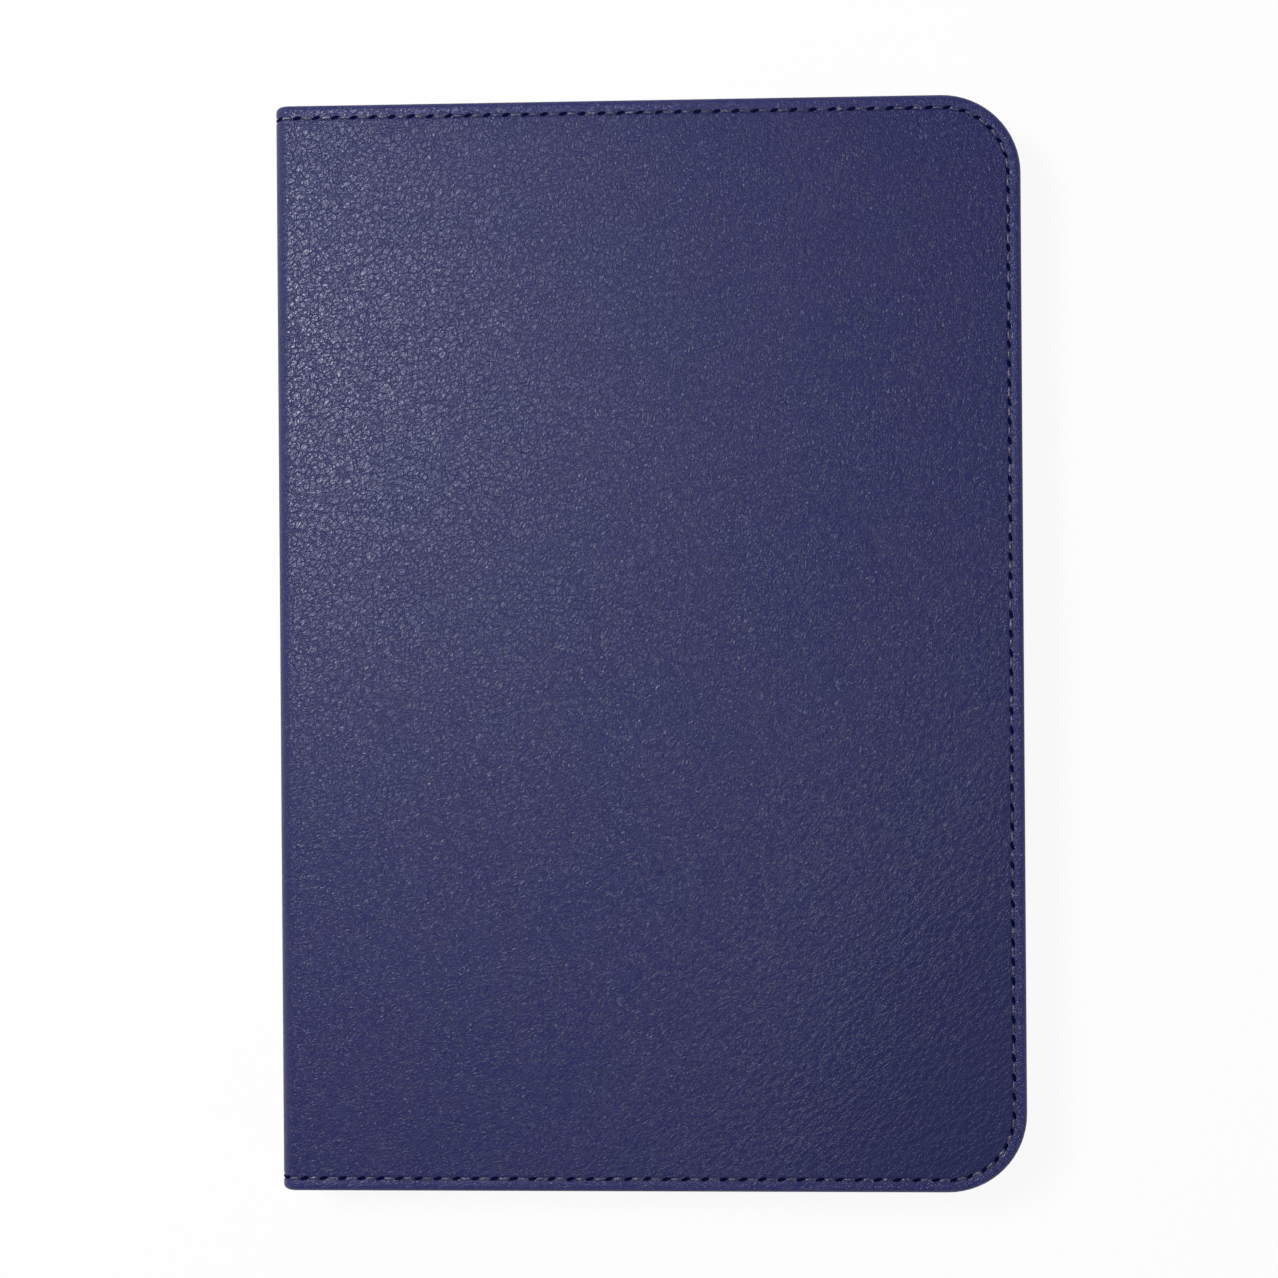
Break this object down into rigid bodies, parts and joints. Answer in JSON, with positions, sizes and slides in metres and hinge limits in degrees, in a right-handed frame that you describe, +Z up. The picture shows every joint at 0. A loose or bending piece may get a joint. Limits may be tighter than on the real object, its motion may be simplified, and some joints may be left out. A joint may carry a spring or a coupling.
{
  "type": "tablet keyboard case",
  "caption": "Grained leather folio case for a tablet, with a tilting snap-in tray on a folding prop and a removable keyboard on the front cover.",
  "frame": {"origin": "under the middle of the closed case, on the surface that its back lies on", "axes": "+Z up out of the front cover, -X towards the spine, +Y towards the top of the cover"},
  "size_m": [0.175, 0.256, 0.0241],
  "materials": {
    "grained_leather": "pebble grained, satin, navy",
    "stiff_board": "pressed grey board",
    "soft_lining": "brushed microfibre",
    "stand_leather": "smooth thin leather",
    "magnet": "nickel plated",
    "tray_shell": "fine moulded texture",
    "keyboard_shell": "fine moulded texture",
    "key_cap": "satin, printed legends",
    "contact_sheet": "clear film with printed tracks",
    "silicone": "moulded silicone",
    "circuit": "lacquered",
    "battery_pouch": "foil pouch",
    "socket_metal": "stamped steel",
    "light_pipe": "clear moulded",
    "control": "fine moulded texture"
  },
  "bodies": {
    "back": {"back_leather": "grained_leather", "back_board": "stiff_board", "back_lining": "soft_lining", "stand_magnets": "magnet", "stand_tab": "stand_leather", "rear_fold": "grained_leather"},
    "spine": {"spine_leather": "grained_leather", "spine_board": "stiff_board", "spine_lining": "soft_lining", "front_fold": "grained_leather"},
    "front_cover": {"front_leather": "grained_leather", "front_board": "stiff_board", "front_lining": "soft_lining", "sleep_magnets": "magnet", "keyboard_keepers": "magnet"},
    "tray": {"tablet_tray": "tray_shell", "tray_mat": "soft_lining", "carrier_panel": "stand_leather", "tray_hinge": "stand_leather"},
    "prop": {"prop_panel": "stand_leather", "prop_magnets": "magnet", "prop_hinge": "stand_leather"},
    "keyboard": {"keyboard_base": "keyboard_shell", "keyboard_bezel": "keyboard_shell", "key_membrane": "contact_sheet", "key_domes": "silicone", "circuit_board": "circuit", "battery": "battery_pouch", "charge_socket": "socket_metal", "status_lights": "light_pipe", "keyboard_magnets": "magnet", "screen_bumpers": "silicone"},
    "power_switch": {"power_switch": "control"},
    "connect_button": {"connect_button": "control"},
    "function_keys": {"function_keys": "key_cap"},
    "number_keys": {"number_keys": "key_cap"},
    "backspace_key": {"backspace_key": "key_cap"},
    "tab_key": {"tab_key": "key_cap"},
    "upper_letter_keys": {"upper_letter_keys": "key_cap"},
    "bracket_key": {"bracket_key": "key_cap"},
    "caps_lock_key": {"caps_lock_key": "key_cap"},
    "home_letter_keys": {"home_letter_keys": "key_cap"},
    "enter_key": {"enter_key": "key_cap"},
    "left_shift_key": {"left_shift_key": "key_cap"},
    "lower_letter_keys": {"lower_letter_keys": "key_cap"},
    "up_arrow_key": {"up_arrow_key": "key_cap"},
    "right_shift_key": {"right_shift_key": "key_cap"},
    "fn_key": {"fn_key": "key_cap"},
    "control_key": {"control_key": "key_cap"},
    "option_key": {"option_key": "key_cap"},
    "left_command_key": {"left_command_key": "key_cap"},
    "space_bar": {"space_bar": "key_cap"},
    "right_command_key": {"right_command_key": "key_cap"},
    "left_arrow_key": {"left_arrow_key": "key_cap"},
    "down_arrow_key": {"down_arrow_key": "key_cap"},
    "right_arrow_key": {"right_arrow_key": "key_cap"}
  },
  "joints": [
    {"name": "cover_open", "type": "hinge", "parent": "back", "child": "spine", "pos_m": [-0.08675, 0, 0.00075], "axis": [0, -1, 0], "range_deg": [0, 90], "deforming": ["rear_fold"]},
    {"name": "cover_fold", "type": "hinge", "parent": "spine", "child": "front_cover", "pos_m": [-0.08675, 0, 0.02335], "axis": [0, -1, 0], "range_deg": [0, 90], "deforming": ["front_fold"]},
    {"name": "tray_tilt", "type": "hinge", "parent": "back", "child": "tray", "pos_m": [-0.0802, 0, 0.0033], "axis": [0, -1, 0], "range_deg": [0, 60], "deforming": ["tray_hinge"]},
    {"name": "prop_fold", "type": "hinge", "parent": "tray", "child": "prop", "pos_m": [0.00015, 0, 0.0033], "axis": [0, -1, 0], "range_deg": [-120, 0], "deforming": ["prop_hinge"]},
    {"name": "keyboard_slide", "type": "slide", "parent": "front_cover", "child": "keyboard", "axis": [1, 0, 0], "range_m": [0, 0.13]},
    {"name": "power_switch_slide", "type": "slide", "parent": "keyboard", "child": "power_switch", "axis": [0, -1, 0], "range_m": [0, 0.0025]},
    {"name": "connect_press", "type": "slide", "parent": "keyboard", "child": "connect_button", "axis": [0, 0, 1], "range_m": [0, 0.0004], "stiffness_N_per_m": 1200, "springref_m": -0.0005},
    {"name": "function_press", "type": "slide", "parent": "keyboard", "child": "function_keys", "axis": [0, 0, 1], "range_m": [0, 0.0012], "stiffness_N_per_m": 500, "springref_m": -0.0006},
    {"name": "number_press", "type": "slide", "parent": "keyboard", "child": "number_keys", "axis": [0, 0, 1], "range_m": [0, 0.0012], "stiffness_N_per_m": 500, "springref_m": -0.0006},
    {"name": "backspace_press", "type": "slide", "parent": "keyboard", "child": "backspace_key", "axis": [0, 0, 1], "range_m": [0, 0.0012], "stiffness_N_per_m": 500, "springref_m": -0.0006},
    {"name": "tab_press", "type": "slide", "parent": "keyboard", "child": "tab_key", "axis": [0, 0, 1], "range_m": [0, 0.0012], "stiffness_N_per_m": 500, "springref_m": -0.0006},
    {"name": "upper_letter_press", "type": "slide", "parent": "keyboard", "child": "upper_letter_keys", "axis": [0, 0, 1], "range_m": [0, 0.0012], "stiffness_N_per_m": 500, "springref_m": -0.0006},
    {"name": "bracket_press", "type": "slide", "parent": "keyboard", "child": "bracket_key", "axis": [0, 0, 1], "range_m": [0, 0.0012], "stiffness_N_per_m": 500, "springref_m": -0.0006},
    {"name": "caps_lock_press", "type": "slide", "parent": "keyboard", "child": "caps_lock_key", "axis": [0, 0, 1], "range_m": [0, 0.0012], "stiffness_N_per_m": 500, "springref_m": -0.0006},
    {"name": "home_letter_press", "type": "slide", "parent": "keyboard", "child": "home_letter_keys", "axis": [0, 0, 1], "range_m": [0, 0.0012], "stiffness_N_per_m": 500, "springref_m": -0.0006},
    {"name": "enter_press", "type": "slide", "parent": "keyboard", "child": "enter_key", "axis": [0, 0, 1], "range_m": [0, 0.0012], "stiffness_N_per_m": 500, "springref_m": -0.0006},
    {"name": "left_shift_press", "type": "slide", "parent": "keyboard", "child": "left_shift_key", "axis": [0, 0, 1], "range_m": [0, 0.0012], "stiffness_N_per_m": 500, "springref_m": -0.0006},
    {"name": "lower_letter_press", "type": "slide", "parent": "keyboard", "child": "lower_letter_keys", "axis": [0, 0, 1], "range_m": [0, 0.0012], "stiffness_N_per_m": 500, "springref_m": -0.0006},
    {"name": "up_arrow_press", "type": "slide", "parent": "keyboard", "child": "up_arrow_key", "axis": [0, 0, 1], "range_m": [0, 0.0012], "stiffness_N_per_m": 500, "springref_m": -0.0006},
    {"name": "right_shift_press", "type": "slide", "parent": "keyboard", "child": "right_shift_key", "axis": [0, 0, 1], "range_m": [0, 0.0012], "stiffness_N_per_m": 500, "springref_m": -0.0006},
    {"name": "fn_press", "type": "slide", "parent": "keyboard", "child": "fn_key", "axis": [0, 0, 1], "range_m": [0, 0.0012], "stiffness_N_per_m": 500, "springref_m": -0.0006},
    {"name": "control_press", "type": "slide", "parent": "keyboard", "child": "control_key", "axis": [0, 0, 1], "range_m": [0, 0.0012], "stiffness_N_per_m": 500, "springref_m": -0.0006},
    {"name": "option_press", "type": "slide", "parent": "keyboard", "child": "option_key", "axis": [0, 0, 1], "range_m": [0, 0.0012], "stiffness_N_per_m": 500, "springref_m": -0.0006},
    {"name": "left_command_press", "type": "slide", "parent": "keyboard", "child": "left_command_key", "axis": [0, 0, 1], "range_m": [0, 0.0012], "stiffness_N_per_m": 500, "springref_m": -0.0006},
    {"name": "space_bar_press", "type": "slide", "parent": "keyboard", "child": "space_bar", "axis": [0, 0, 1], "range_m": [0, 0.0012], "stiffness_N_per_m": 500, "springref_m": -0.0006, "deforming": ["key_domes"]},
    {"name": "right_command_press", "type": "slide", "parent": "keyboard", "child": "right_command_key", "axis": [0, 0, 1], "range_m": [0, 0.0012], "stiffness_N_per_m": 500, "springref_m": -0.0006},
    {"name": "left_arrow_press", "type": "slide", "parent": "keyboard", "child": "left_arrow_key", "axis": [0, 0, 1], "range_m": [0, 0.0012], "stiffness_N_per_m": 500, "springref_m": -0.0006},
    {"name": "down_arrow_press", "type": "slide", "parent": "keyboard", "child": "down_arrow_key", "axis": [0, 0, 1], "range_m": [0, 0.0012], "stiffness_N_per_m": 500, "springref_m": -0.0006},
    {"name": "right_arrow_press", "type": "slide", "parent": "keyboard", "child": "right_arrow_key", "axis": [0, 0, 1], "range_m": [0, 0.0012], "stiffness_N_per_m": 500, "springref_m": -0.0006}
  ],
  "couplings": [
    {"joint": "cover_fold", "follows": "cover_open", "ratio": 1},
    {"joint": "tray_tilt", "follows": "cover_open", "ratio": 0.6666},
    {"joint": "prop_fold", "follows": "cover_open", "ratio": -1.3332}
  ]
}
